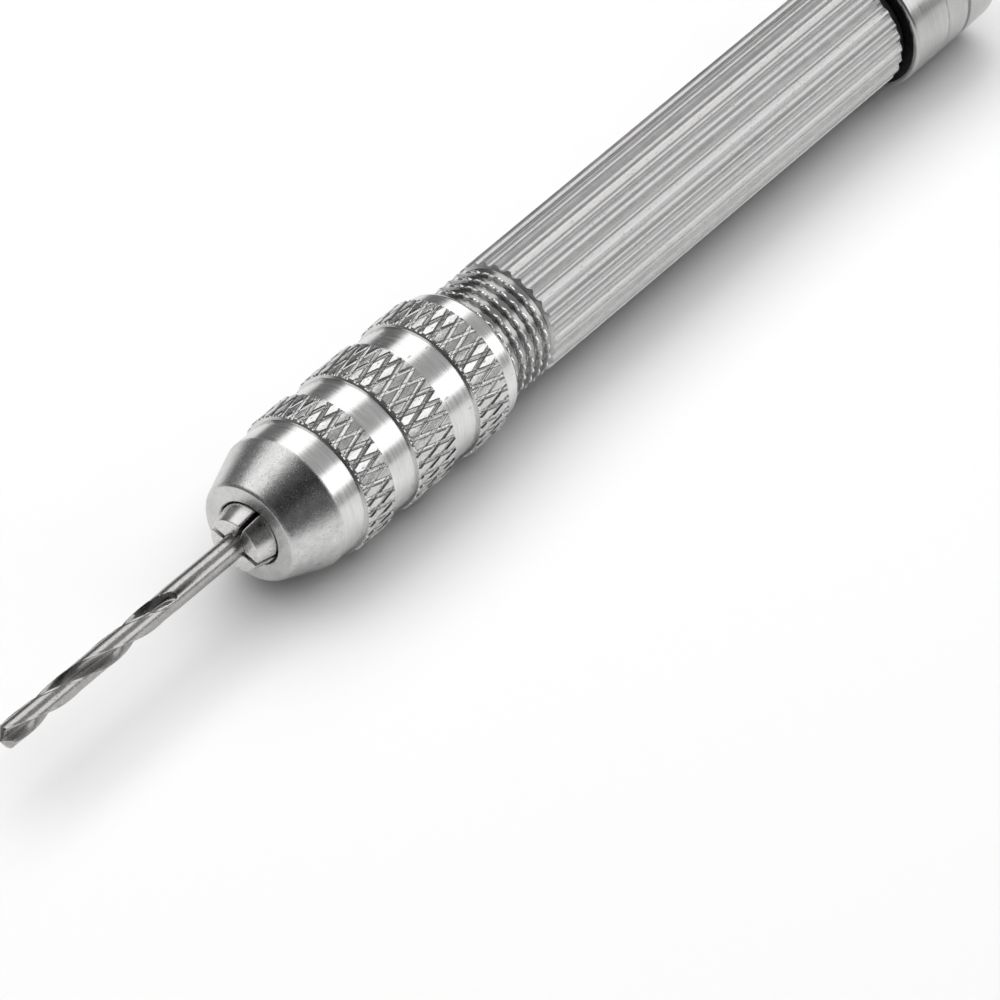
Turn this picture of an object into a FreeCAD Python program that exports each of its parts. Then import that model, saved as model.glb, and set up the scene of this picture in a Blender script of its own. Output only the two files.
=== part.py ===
import FreeCAD
import Part
import math
import os

Vector = FreeCAD.Vector

# A pin vise lying on its side with a twist drill in its collet. It is designed along X, the tool axis:
# position 0 is the chuck sleeve's front face, and positions grow towards the swivel cap.
# All sizes are in millimetres, and diameters are full diameters.

# Chuck sleeve, outside
nose_diameter = 9.0
nose_edge_chamfer = 0.25
nose_cone_length = 4.3
groove_diameter = 12.0
knurl_diameter = 12.8
knurl_chamfer = 0.25
front_band_length = 2.75
knurl_lengths = (3.25, 4.6, 3.6)
groove_lengths = (2.95, 3.1)
rear_rim_length = 1.7
rear_rim_land = 0.6
rear_rim_diameter = 10.9

# Collet: one double-ended spring steel collet with four slits at each end
collet_length = 24.25
collet_ahead_of_nose = 1.75
collet_face_diameter = 4.7
collet_diameter = 6.6
collet_taper_angle = 12.7
collet_slit_width = 0.4
collet_slit_turn = 18.5
collet_front_slit_length = 12.25
collet_rear_slit_length = 8.0
collet_bore_diameter = 3.4
collet_grip_length = 6.0
collet_rear_grip_diameter = 2.5
collet_rear_grip_length = 4.0
finger_count = 4

# Twist drill
drill_diameter = 2.0
drill_length = 49.0
drill_flute_length = 20.5
drill_out_of_nose = 29.3
drill_point_angle = 118.0
drill_lead = 21.8
drill_turn = -38.0
drill_web = 0.36
drill_flute_angle = 90.0

# Thread between the handle and the chuck sleeve, right-handed
thread_diameter = 10.5
thread_pitch = 1.0
thread_depth = 0.55
thread_crest_width = 0.125
thread_flank_angle = 30.0
thread_engagement = 11.75
thread_exposed = 5.45

# Handle
handle_diameter = 10.5
handle_grip_length = 46.7
flute_count = 27
flute_turn = 10.1
flute_depth = 0.25
flute_radius = 0.45
bit_passage_diameter = 3.5
bit_passage_length = 30.0

# Swivel joint at the rear
pivot_thread_diameter = 3.0
pivot_thread_length = 8.0
pivot_hole_spare = 2.0
pivot_shoulder_diameter = 4.0
pivot_head_diameter = 6.4
pivot_head_length = 1.8
screw_slot_width = 0.6
screw_slot_depth = 0.8
thrust_washer_diameter = 9.5
thrust_washer_thickness = 0.85
head_washer_diameter = 6.6
head_washer_thickness = 0.4
bush_diameter = 6.0
bush_length = 5.0

# Swivel cap
cap_diameter = 12.28
cap_rear_diameter = 12.0
cap_length = 12.0
cap_front_round = 0.5
cap_rear_round = 1.2
cap_line_at = 4.5
cap_line_width = 0.2
cap_line_depth = 0.08
cap_groove_at = 7.4
cap_groove_width = 0.5
cap_groove_depth = 0.22
cap_chamber_diameter = 7.4
cap_plug_length = 2.0

# Clearances
running_clearance = 0.05
drill_clearance = 0.015
bush_clearance = 0.03
washer_clearance = 0.05
thread_clearance = 0.06
closing_cone_clearance = 0.06
sleeve_end_clearance = 1.0
finger_opening_room = 0.54
passage_end_allowance = 0.5
cut_overrun = 1.0

# Sizes and places worked out from the driving dimensions
collet_front = -collet_ahead_of_nose
collet_rear = collet_front + collet_length
collet_radius = collet_diameter / 2
collet_face_radius = collet_face_diameter / 2
collet_slope = math.tan(math.radians(collet_taper_angle))
collet_taper_length = (collet_radius - collet_face_radius) / collet_slope
finger_root = collet_front + collet_front_slit_length
rear_slit_start = collet_rear - collet_rear_slit_length

sleeve_length = (nose_cone_length + front_band_length + sum(knurl_lengths) + sum(groove_lengths)
                 + rear_rim_length)
handle_front = sleeve_length - thread_engagement
thread_end = sleeve_length + thread_exposed
handle_rear = thread_end + handle_grip_length

cap_front = handle_rear + thrust_washer_thickness + washer_clearance
cap_rear = cap_front + cap_length
chamber_front = cap_front + bush_length
pivot_head_front = chamber_front + washer_clearance + head_washer_thickness

drill_tip = -drill_out_of_nose
drill_rear = drill_tip + drill_length
drill_flute_end = drill_tip + drill_flute_length

axis_height = max(knurl_diameter, cap_diameter) / 2
middle = (drill_tip + cap_rear) / 2
origin = Vector(0, 0, 0)
along = Vector(1, 0, 0)


def turned(outline):
    # A solid of revolution about the tool axis, from corners given as (position, radius)
    corners = [Vector(position, 0, radius) for position, radius in outline]
    wire = Part.makePolygon(corners + corners[:1])
    return Part.Face(wire).revolve(origin, along, 360)


def rod(start, end, diameter):
    # A cylinder on the tool axis
    return Part.makeCylinder(diameter / 2, end - start, Vector(start, 0, 0), along)


def rim(solid, position, diameter):
    # The circular edges of a solid that lie at a position and have a diameter
    found = []
    for edge in solid.Edges:
        curve = edge.Curve
        if isinstance(curve, Part.Circle):
            same_place = abs(curve.Center.x - position) < 1e-6
            if same_place and abs(curve.Radius - diameter / 2) < 1e-6:
                found.append(edge)
    return found


def to_tool_axis(solid):
    # A solid built along +Z is turned to lie along +X
    solid.rotate(origin, Vector(0, 1, 0), 90)
    return solid


def thread_ridge(start, length, extra):
    # The helical ridge of the thread, made larger all over by extra to cut the mating thread
    root_radius = thread_diameter / 2 - thread_depth
    base_radius = root_radius - 2 * thread_clearance
    crest_radius = thread_diameter / 2 + extra
    flank_slope = math.tan(math.radians(thread_flank_angle))
    axial_extra = extra / math.cos(math.radians(thread_flank_angle)) - extra * flank_slope
    crest_half = thread_crest_width / 2 + axial_extra
    base_half = crest_half + (crest_radius - base_radius) * flank_slope
    corners = [Vector(base_radius, 0, start - base_half), Vector(crest_radius, 0, start - crest_half),
               Vector(crest_radius, 0, start + crest_half), Vector(base_radius, 0, start + base_half)]
    profile = Part.makePolygon(corners + corners[:1])
    helix = Part.makeHelix(thread_pitch, length, root_radius)
    helix.translate(Vector(0, 0, start))
    ridge = Part.Wire(helix.Edges).makePipeShell([profile], True, True)
    return to_tool_axis(ridge)


def slit(start, end, turn):
    # A flat blade through the axis on one side only, turned about the axis from straight up
    blade = Part.makeBox(end - start, collet_slit_width, collet_diameter,
                         Vector(start, -collet_slit_width / 2, 0))
    blade.rotate(origin, along, turn)
    return blade


def collet_blank():
    # The collet before it is slit: tapered at both ends and bored right through
    blank = turned([(collet_front, 0), (collet_front, collet_face_radius),
                    (collet_front + collet_taper_length, collet_radius),
                    (collet_rear - collet_taper_length, collet_radius),
                    (collet_rear, collet_face_radius), (collet_rear, 0)])
    grip = rod(collet_front - cut_overrun, collet_rear, drill_diameter + 2 * drill_clearance)
    bore = rod(collet_front + collet_grip_length, collet_rear - collet_rear_grip_length,
               collet_bore_diameter)
    rear_grip = rod(collet_rear - collet_rear_grip_length - cut_overrun, collet_rear + cut_overrun,
                    collet_rear_grip_diameter)
    return blank.cut(grip.fuse([bore, rear_grip]))


def collet_core():
    # The unslit middle of the collet and its rear end, which sits in the handle
    core = collet_blank().cut(rod(collet_front - cut_overrun, finger_root, 2 * collet_diameter))
    step = 360 / finger_count
    blades = [slit(rear_slit_start, collet_rear + cut_overrun, collet_slit_turn + step / 2 + step * number)
              for number in range(finger_count)]
    return core.cut(blades)


def collet_finger(number):
    # One of the fingers that close on the drill, between two slits
    front = collet_blank().common(rod(collet_front - cut_overrun, finger_root, 2 * collet_diameter))
    step = 360 / finger_count
    reach = 2 * collet_diameter
    turn = collet_slit_turn + step * number
    corners = [origin, Vector(0, 0, reach), Vector(0, -reach, 0)]
    sector = Part.Face(Part.makePolygon(corners + corners[:1]))
    sector = sector.extrude(along * (finger_root - collet_front))
    sector.translate(Vector(collet_front, 0, 0))
    sector.rotate(origin, along, turn)
    blades = [slit(collet_front - cut_overrun, finger_root, turn),
              slit(collet_front - cut_overrun, finger_root, turn + step)]
    return front.common(sector).cut(blades)


def chuck_sleeve():
    # The knurled sleeve that screws onto the handle and closes the collet with its inner cone
    groove = groove_diameter / 2
    knurl = knurl_diameter / 2
    nose = nose_diameter / 2
    outline = [(0, 0), (0, nose - nose_edge_chamfer), (nose_edge_chamfer, nose),
               (nose_cone_length, groove)]
    position = nose_cone_length + front_band_length
    for number, length in enumerate(knurl_lengths):
        outline += [(position, groove), (position, knurl - knurl_chamfer), (position + knurl_chamfer, knurl)]
        position += length
        outline += [(position - knurl_chamfer, knurl), (position, knurl - knurl_chamfer),
                    (position, groove)]
        if number < len(groove_lengths):
            position += groove_lengths[number]
    outline += [(position + rear_rim_land, groove), (sleeve_length, rear_rim_diameter / 2),
                (sleeve_length, 0)]
    sleeve = turned(outline)

    mouth_radius = collet_face_radius + collet_ahead_of_nose * collet_slope + closing_cone_clearance
    room_radius = collet_radius + finger_opening_room
    cone_end = (room_radius - mouth_radius) / collet_slope
    room_end = handle_front - sleeve_end_clearance
    mouth_step = cut_overrun * collet_slope
    inside = turned([(-cut_overrun, 0), (-cut_overrun, mouth_radius - mouth_step),
                     (cone_end, room_radius), (room_end + cut_overrun, room_radius),
                     (room_end + cut_overrun, 0)])
    minor_diameter = thread_diameter - 2 * thread_depth + 2 * thread_clearance
    threaded_bore = rod(room_end, sleeve_length + cut_overrun, minor_diameter)
    thread_start = handle_front - thread_pitch / 2
    turns = math.ceil((sleeve_length + cut_overrun - thread_start) / thread_pitch)
    ridge = thread_ridge(thread_start, turns * thread_pitch, thread_clearance)
    return sleeve.cut(inside).cut(threaded_bore).cut(ridge)


def drill_section():
    # The cross-section of the fluted part: two lands joined by a thin web
    radius = drill_diameter / 2
    web = drill_web / 2
    half_turn = math.radians(drill_flute_angle / 2)
    corner_x = radius * math.sin(half_turn)
    corner_y = radius * math.cos(half_turn)
    corners = [Vector(corner_x, corner_y, 0), Vector(corner_x, -corner_y, 0),
               Vector(-corner_x, -corner_y, 0), Vector(-corner_x, corner_y, 0)]
    middles = [Vector(radius, 0, 0), Vector(0, -web, 0), Vector(-radius, 0, 0), Vector(0, web, 0)]
    edges = [Part.Arc(start, middle_point, end).toShape()
             for start, middle_point, end in zip(corners, middles, corners[1:] + corners[:1])]
    return Part.Wire(edges)


def drill_bit():
    # A jobber twist drill: the section is carried along the axis while a helix turns it
    spine = Part.Wire(Part.makeLine(origin, Vector(0, 0, drill_flute_length)))
    guide = Part.Wire(Part.makeHelix(drill_lead, drill_flute_length, drill_diameter).Edges)
    sweep = Part.BRepOffsetAPI.MakePipeShell(spine)
    sweep.setAuxiliarySpine(guide, True, 0)
    sweep.add(drill_section(), False, False)
    sweep.build()
    sweep.makeSolid()
    fluted = to_tool_axis(sweep.shape())
    fluted.rotate(origin, along, drill_turn)
    fluted.translate(Vector(drill_tip, 0, 0))
    bit = fluted.fuse(rod(drill_flute_end, drill_rear, drill_diameter))
    point_length = drill_diameter / 2 / math.tan(math.radians(drill_point_angle / 2))
    envelope = turned([(drill_tip, 0), (drill_tip + point_length, drill_diameter / 2),
                       (drill_tip + point_length, drill_diameter), (drill_rear, drill_diameter),
                       (drill_rear, 0)])
    return bit.common(envelope)


def handle():
    # The fluted grip, threaded at the front, with the collet seat, the drill passage and the pivot hole
    root = thread_diameter / 2 - thread_depth
    grip = handle_diameter / 2
    run_out = grip - root
    blank = turned([(handle_front, 0), (handle_front, root - thread_clearance),
                    (handle_front + thread_clearance, root), (thread_end - run_out / 2, root),
                    (thread_end + run_out / 2, grip), (handle_rear, grip), (handle_rear, 0)])
    seat_radius = collet_radius + running_clearance
    seat_end = collet_rear
    seat_end_radius = collet_face_radius + running_clearance
    passage = bit_passage_diameter / 2
    bore = turned([(handle_front - cut_overrun, 0), (handle_front - cut_overrun, seat_radius),
                   (seat_end - collet_taper_length, seat_radius), (seat_end, seat_end_radius),
                   (seat_end + passage_end_allowance, seat_end_radius),
                   (seat_end + passage_end_allowance, passage),
                   (seat_end + bit_passage_length, passage), (seat_end + bit_passage_length, 0)])
    pivot_hole = rod(handle_rear - pivot_thread_length - pivot_hole_spare, handle_rear + cut_overrun,
                     pivot_thread_diameter)
    flutes = []
    flute_start = thread_end - run_out / 2
    for number in range(flute_count):
        cutter = Part.makeCylinder(flute_radius, handle_rear - flute_start + cut_overrun,
                                   Vector(flute_start, 0, grip + flute_radius - flute_depth), along)
        cutter.rotate(origin, along, flute_turn + 360 / flute_count * number)
        flutes.append(cutter)
    thread_start = handle_front + thread_pitch / 2
    turns = math.floor((thread_end - run_out - thread_start) / thread_pitch)
    ridge = thread_ridge(thread_start, turns * thread_pitch, 0)
    return blank.cut(flutes).fuse(ridge).cut([bore, pivot_hole])


def pivot_screw():
    # The shoulder screw that holds the swivel cap and lets it turn
    head_rear = pivot_head_front + pivot_head_length
    screw = turned([(handle_rear - pivot_thread_length, 0),
                    (handle_rear - pivot_thread_length, pivot_thread_diameter / 2),
                    (handle_rear, pivot_thread_diameter / 2),
                    (handle_rear, pivot_shoulder_diameter / 2),
                    (pivot_head_front, pivot_shoulder_diameter / 2),
                    (pivot_head_front, pivot_head_diameter / 2),
                    (head_rear, pivot_head_diameter / 2), (head_rear, 0)])
    slot = Part.makeBox(screw_slot_depth + cut_overrun, screw_slot_width, 2 * pivot_head_diameter,
                        Vector(head_rear - screw_slot_depth, -screw_slot_width / 2, -pivot_head_diameter))
    return screw.cut(slot)


def washer(front, thickness, diameter):
    # A flat washer on the pivot screw's shoulder
    hole = rod(front - cut_overrun, front + thickness + cut_overrun,
               pivot_shoulder_diameter + 2 * running_clearance)
    return rod(front, front + thickness, diameter).cut(hole)


def bearing_bush():
    # The bush pressed into the cap, which turns on the pivot screw's shoulder
    hole = rod(cap_front - cut_overrun, chamber_front + cut_overrun,
               pivot_shoulder_diameter + 2 * bush_clearance)
    return rod(cap_front, chamber_front, bush_diameter).cut(hole)


def ring_cut(position, width, depth):
    # A turned groove of a given depth in the cap's slightly tapered outside
    shrink = (cap_diameter - cap_rear_diameter) / 2 * (position - cap_front) / cap_length
    bottom = cap_diameter - 2 * shrink - 2 * depth
    ring = rod(position - width / 2, position + width / 2, 2 * cap_diameter)
    return ring.cut(rod(position - width, position + width, bottom))


def swivel_cap():
    # The palm rest: a slightly tapered cap with two turned rings and a chamber for the screw's head
    cap = turned([(cap_front, 0), (cap_front, cap_diameter / 2), (cap_rear, cap_rear_diameter / 2),
                  (cap_rear, 0)])
    cap = cap.makeFillet(cap_front_round, rim(cap, cap_front, cap_diameter))
    cap = cap.makeFillet(cap_rear_round, rim(cap, cap_rear, cap_rear_diameter))
    rings = [ring_cut(cap_front + cap_line_at, cap_line_width, cap_line_depth),
             ring_cut(cap_front + cap_groove_at, cap_groove_width, cap_groove_depth)]
    bush_hole = rod(cap_front - cut_overrun, chamber_front + cut_overrun, bush_diameter)
    chamber = rod(chamber_front, cap_rear + cut_overrun, cap_chamber_diameter)
    return cap.cut(rings + [bush_hole, chamber])


def cap_plug():
    # The disc that closes the cap's rear, flush with it
    return rod(cap_rear - cap_plug_length, cap_rear, cap_chamber_diameter)


nodes = {
    "handle": handle(),
    "chuck_sleeve": chuck_sleeve(),
    "collet_core": collet_core(),
    "drill_bit": drill_bit(),
    "thrust_washer": washer(handle_rear, thrust_washer_thickness, thrust_washer_diameter),
    "head_washer": washer(pivot_head_front - head_washer_thickness, head_washer_thickness,
                          head_washer_diameter),
    "pivot_screw": pivot_screw(),
    "bearing_bush": bearing_bush(),
    "swivel_cap": swivel_cap(),
    "cap_plug": cap_plug(),
}
for finger in range(finger_count):
    nodes["collet_finger_%d" % (finger + 1)] = collet_finger(finger)

os.makedirs("parts", exist_ok=True)
for name, solid in nodes.items():
    solid.translate(Vector(-middle, 0, axis_height))
    solid.exportStep("parts/" + name + ".step")
    print(name, "valid" if solid.isValid() else "NOT VALID", len(solid.Solids), round(solid.Volume, 3))
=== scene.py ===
import bpy
import math
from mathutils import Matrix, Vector


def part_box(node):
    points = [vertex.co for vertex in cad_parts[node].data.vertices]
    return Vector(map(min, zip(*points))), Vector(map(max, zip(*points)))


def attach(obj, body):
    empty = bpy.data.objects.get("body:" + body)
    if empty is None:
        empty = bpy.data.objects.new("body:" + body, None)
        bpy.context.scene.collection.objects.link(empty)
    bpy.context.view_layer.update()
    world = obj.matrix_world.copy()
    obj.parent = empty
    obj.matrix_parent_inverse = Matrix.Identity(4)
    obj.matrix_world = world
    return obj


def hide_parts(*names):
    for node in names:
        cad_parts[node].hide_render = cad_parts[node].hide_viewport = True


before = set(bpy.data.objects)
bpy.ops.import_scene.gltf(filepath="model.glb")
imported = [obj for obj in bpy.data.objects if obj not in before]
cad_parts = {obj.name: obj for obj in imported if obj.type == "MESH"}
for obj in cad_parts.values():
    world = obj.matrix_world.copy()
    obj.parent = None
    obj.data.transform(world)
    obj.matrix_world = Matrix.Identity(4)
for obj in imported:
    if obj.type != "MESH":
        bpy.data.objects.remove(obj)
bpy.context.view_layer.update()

mm = 0.001
sleeveLow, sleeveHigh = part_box("chuck_sleeve")
noseX = sleeveLow.x                                   # the sleeve's front face
axisZ = (sleeveLow.z + sleeveHigh.z) / 2
fullTurn = 2 * math.pi


def span(node):
    # where a CAD node starts and ends, in mm behind the nose
    low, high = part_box(node)
    return round((low.x - noseX) / mm, 3), round((high.x - noseX) / mm, 3)


gripFront, gripRear = span("handle")
washerFront, washerRear = span("thrust_washer")
capFront, capRear = span("swivel_cap")
discFront, discRear = span("cap_plug")
drillTip, drillRear = span("drill_bit")
colletFront, colletRoot = span("collet_finger_1")
print("frame loaded, nose at %.2f mm" % (noseX / mm))


# helpers shared by every piece

def feed(tree, socket, value):
    if isinstance(value, bpy.types.NodeSocket):
        tree.links.new(value, socket)
    else:
        socket.default_value = value


def calc(tree, operation, *values):
    node = tree.nodes.new("ShaderNodeMath")
    node.operation = operation
    for place, value in enumerate(values):
        feed(tree, node.inputs[place], value)
    return node.outputs[0]


def ramp(tree, value, low, high, toLow, toHigh, smooth=False):
    node = tree.nodes.new("ShaderNodeMapRange")
    node.interpolation_type = "SMOOTHSTEP" if smooth else "LINEAR"
    for place, item in enumerate((value, low, high, toLow, toHigh)):
        feed(tree, node.inputs[place], item)
    return node.outputs[0]


def ringPoint(position, radius, turn):
    # position in mm behind the nose, turn in radians from straight up towards -Y
    return (noseX + position * mm, -radius * mm * math.sin(turn), axisZ + radius * mm * math.cos(turn))


def ringFaces(first, second, columns, shift):
    # shift says how the second ring is turned against the first, in half columns
    faces = []
    for column in range(columns):
        after = (column + 1) % columns
        a, b, c, d = first + column, first + after, second + column, second + after
        if shift == 0:
            faces.append((a, b, d, c))
        elif shift > 0:
            faces += [(a, b, c), (b, d, c)]
        else:
            faces += [(a, b, d), (a, d, c)]
    return faces


def lathe(name, rows, columns, materials, looped=False):
    # rows are (position, radius, half-column shift, material number); radius 0 closes the end with a pole
    points, faces, faceMaterials, starts = [], [], [], []
    for position, radius, shift, _ in rows:
        starts.append(len(points))
        if radius == 0:
            points.append(ringPoint(position, 0, 0))
        else:
            points += [ringPoint(position, radius, fullTurn * (column + shift / 2) / columns)
                       for column in range(columns)]
    pairs = list(zip(range(len(rows)), range(1, len(rows))))
    if looped:
        pairs.append((len(rows) - 1, 0))
    for one, two in pairs:
        if rows[one][1] == 0:
            made = [(starts[one], starts[two] + (k + 1) % columns, starts[two] + k) for k in range(columns)]
        elif rows[two][1] == 0:
            made = [(starts[one] + k, starts[one] + (k + 1) % columns, starts[two]) for k in range(columns)]
        else:
            made = ringFaces(starts[one], starts[two], columns, rows[two][2] - rows[one][2])
        faces += made
        faceMaterials += [rows[two][3]] * len(made)
    mesh = bpy.data.meshes.new(name)
    mesh.from_pydata(points, [], faces)
    for material in materials:
        mesh.materials.append(material)
    mesh.polygons.foreach_set("material_index", faceMaterials)
    return showMesh(name, mesh)


def showMesh(name, mesh):
    mesh.polygons.foreach_set("use_smooth", [True] * len(mesh.polygons))
    mesh.update()
    if signedVolume(mesh) < 0:
        mesh.flip_normals()
    piece = bpy.data.objects.new(name, mesh)
    bpy.context.scene.collection.objects.link(piece)
    return piece


def signedVolume(mesh):
    total = 0.0
    mesh.calc_loop_triangles()
    for triangle in mesh.loop_triangles:
        a, b, c = (mesh.vertices[corner].co for corner in triangle.vertices)
        total += a.dot(b.cross(c))
    return total / 6


def sharpen(piece, degrees):
    piece.data.set_sharp_from_angle(angle=math.radians(degrees))


def rounded(corners, material, steps=4):
    # (position, radius, rounding) corners become plain rows, each rounded corner as a short curve
    rows = []
    for number, (position, radius, rounding) in enumerate(corners):
        if rounding == 0:
            rows.append((position, radius, 0, material))
            continue
        here = Vector((position, radius))
        before = Vector(corners[number - 1][:2]) - here
        after = Vector(corners[(number + 1) % len(corners)][:2]) - here
        before, after = before.normalized() * rounding, after.normalized() * rounding
        # one extra row past each end of the curve keeps the straight parts evenly shaded
        spots = [here + before * 1.3]
        for step in range(steps + 1):
            share = step / steps
            spots.append(here + before * (1 - share) ** 2 + after * share ** 2)
        spots.append(here + after * 1.3)
        rows += [(spot.x, spot.y, 0, material) for spot in spots]
    return rows


# shader groups

def newGroup(name, inputs, outputs):
    tree = bpy.data.node_groups.new(name, "ShaderNodeTree")
    for title, kind, value in inputs:
        socket = tree.interface.new_socket(title, in_out="INPUT", socket_type=kind)
        socket.default_value = value
    for title, kind in outputs:
        tree.interface.new_socket(title, in_out="OUTPUT", socket_type=kind)
    return tree, tree.nodes.new("NodeGroupInput"), tree.nodes.new("NodeGroupOutput")


def noise(tree, vector, scale, detail=2.0, roughness=0.5):
    node = tree.nodes.new("ShaderNodeTexNoise")
    feed(tree, node.inputs["Vector"], vector)
    feed(tree, node.inputs["Scale"], scale)
    node.inputs["Detail"].default_value = detail
    node.inputs["Roughness"].default_value = roughness
    return node.outputs["Fac"]


def stretched(tree, along, across):
    # object coordinates in mm, scaled apart along the tool and across it
    coordinates = tree.nodes.new("ShaderNodeTexCoord")
    mapping = tree.nodes.new("ShaderNodeVectorMath")
    mapping.operation = "MULTIPLY"
    tree.links.new(coordinates.outputs["Object"], mapping.inputs[0])
    combine = tree.nodes.new("ShaderNodeCombineXYZ")
    feed(tree, combine.inputs[0], along)
    feed(tree, combine.inputs[1], across)
    feed(tree, combine.inputs[2], across)
    tree.links.new(combine.outputs[0], mapping.inputs[1])
    return mapping.outputs[0]


def streakGroup():
    # fine marks stretched along or round the tool: drawn, turned or ground
    tree, given, result = newGroup(
        "streaks",
        [("Along", "NodeSocketFloat", 1000.0), ("Across", "NodeSocketFloat", 1000.0),
         ("Blotch", "NodeSocketFloat", 400.0)],
        [("Fine", "NodeSocketFloat"), ("Broad", "NodeSocketFloat")])
    vector = stretched(tree, given.outputs["Along"], given.outputs["Across"])
    fine = noise(tree, vector, 1.0, 4.0, 0.6)
    even = stretched(tree, given.outputs["Blotch"], given.outputs["Blotch"])
    broad = noise(tree, even, 1.0, 3.0, 0.55)
    feed(tree, result.inputs["Fine"], fine)
    feed(tree, result.inputs["Broad"], broad)
    return tree


def pitGroup():
    # small scattered dents and specks
    tree, given, result = newGroup(
        "pits",
        [("Size", "NodeSocketFloat", 3000.0), ("Amount", "NodeSocketFloat", 0.3)],
        [("Mask", "NodeSocketFloat")])
    vector = stretched(tree, calc(tree, "MULTIPLY", given.outputs["Size"], 0.45), given.outputs["Size"])
    cells = tree.nodes.new("ShaderNodeTexVoronoi")
    tree.links.new(vector, cells.inputs["Vector"])
    cells.inputs["Scale"].default_value = 1.0
    dot = ramp(tree, cells.outputs["Distance"], 0.12, 0.38, 1.0, 0.0, True)
    colour = tree.nodes.new("ShaderNodeSeparateColor")
    tree.links.new(cells.outputs["Color"], colour.inputs[0])
    chosen = calc(tree, "LESS_THAN", colour.outputs[0], given.outputs["Amount"])
    feed(tree, result.inputs["Mask"], calc(tree, "MULTIPLY", dot, chosen))
    return tree


streaks = streakGroup()
pits = pitGroup()
print("shader groups built")


def placeGroup(tree, group, **values):
    node = tree.nodes.new("ShaderNodeGroup")
    node.node_tree = group
    for title, value in values.items():
        feed(tree, node.inputs[title], value)
    return node


def blendColours(tree, factor, first, second):
    node = tree.nodes.new("ShaderNodeMix")
    node.data_type = "RGBA"
    feed(tree, node.inputs["Factor"], factor)
    feed(tree, node.inputs[6], first)
    feed(tree, node.inputs[7], second)
    return node.outputs[2]


def grey(value, warmth=0.0):
    return (value * (1 + warmth), value, value * (1 - warmth), 1.0)


def metal(name, look):
    # one metal finish: two shades mixed by streaks, roughness that varies, and a fine relief
    material = bpy.data.materials.new(name)
    material.use_nodes = True
    tree = material.node_tree
    shader = tree.nodes["Principled BSDF"]
    shader.inputs["Metallic"].default_value = 1.0
    marks = placeGroup(tree, streaks, Along=look["along"], Across=look["across"], Blotch=look["blotch"])
    specks = placeGroup(tree, pits, Size=look["pitSize"], Amount=look["pitAmount"])
    shade = calc(tree, "ADD", calc(tree, "MULTIPLY", marks.outputs["Fine"], 0.65),
                 calc(tree, "MULTIPLY", marks.outputs["Broad"], 0.35))
    mixed = ramp(tree, shade, 0.35, 0.65, 0.0, 1.0)
    colour = blendColours(tree, mixed, look["dark"], look["light"])
    # where a look gives a groove colour, that darker colour is mixed in by the stored groove mask: painted
    # shade in grooves, flutes and creases
    if "groove" in look:
        grooveShadeMask = tree.nodes.new("ShaderNodeAttribute")
        grooveShadeMask.attribute_name = "groove"
        amount = calc(tree, "MULTIPLY", grooveShadeMask.outputs["Fac"], look["grooveShadeAmount"])
        colour = blendColours(tree, amount, colour, look["groove"])
    colour = blendColours(tree, calc(tree, "MULTIPLY", specks.outputs["Mask"], 0.5), colour, look["pit"])
    feed(tree, shader.inputs["Base Color"], colour)
    rough = ramp(tree, shade, 0.3, 0.7, look["smoothest"], look["roughest"])
    rough = calc(tree, "ADD", rough, calc(tree, "MULTIPLY", specks.outputs["Mask"], 0.2))
    feed(tree, shader.inputs["Roughness"], rough)
    height = calc(tree, "ADD", calc(tree, "MULTIPLY", marks.outputs["Fine"], look["relief"]),
                  calc(tree, "MULTIPLY", specks.outputs["Mask"], -look["pitDepth"]))
    bump = tree.nodes.new("ShaderNodeBump")
    bump.inputs["Strength"].default_value = look.get("bump", 0.5)
    bump.inputs["Distance"].default_value = 1.0
    feed(tree, bump.inputs["Height"], height)
    feed(tree, shader.inputs["Normal"], bump.outputs[0])
    return material


satinNose = metal("satin nose", {
    "along": 13000, "across": 12000, "blotch": 1500, "dark": grey(0.48, 0.006), "light": grey(0.74, 0.006),
    "pit": grey(0.3), "pitSize": 8000, "pitAmount": 0.2, "pitDepth": 0.000004,
    "smoothest": 0.18, "roughest": 0.28, "relief": 0.000022, "bump": 0.75})
turnedBand = metal("turned band", {
    "along": 9000, "across": 300, "blotch": 500, "dark": grey(0.6, 0.006), "light": grey(0.8, 0.006),
    "pit": grey(0.5), "pitSize": 2500, "pitAmount": 0.05, "pitDepth": 0.000003,
    "smoothest": 0.15, "roughest": 0.27, "relief": 0.000006, "bump": 0.6})
# the knurl's groove colour is painted shade along the foot of each groove wall
knurledMetal = metal("knurled metal", {
    "along": 2500, "across": 6500, "blotch": 1300, "dark": grey(0.5, 0.006), "light": grey(0.74, 0.006),
    "groove": grey(0.07, 0.01), "grooveShadeAmount": 0.9,
    "pit": grey(0.35), "pitSize": 4600, "pitAmount": 0.35, "pitDepth": 0.00001,
    "smoothest": 0.16, "roughest": 0.3, "relief": 0.000012, "bump": 0.7})
print("sleeve metals built")


# chuck sleeve: nose cone, turned bands and three diamond knurls
sleeveSize = {
    "noseRadius": 4.5, "noseEdge": 0.2, "noseConeEnd": 4.3, "bandRadius": 6.0, "knurlRadius": 6.4,
    "mouthRadius": 2.89, "coneEnd": 4.7, "roomRadius": 3.84, "roomEnd": 13.5, "boreRadius": 5.33,
    "bands": ((7.05, 10.3), (13.25, 17.85), (20.95, 24.55)), "rimRadius": 5.8, "rimLand": 26.0,
    "length": 26.25, "knurlEdge": 0.14, "columnsPerStart": 14,
}
knurlSize = {
    "Starts": 36.0, "Helix": 15.8, "Radius": 6.4, "Groove Width": 0.43, "Floor Share": 0.66,
    "Groove Depth": 0.16, "Second Depth": 0.12, "Floor Ridge": 0.05, "Foot Line": 0.07,
}


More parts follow.
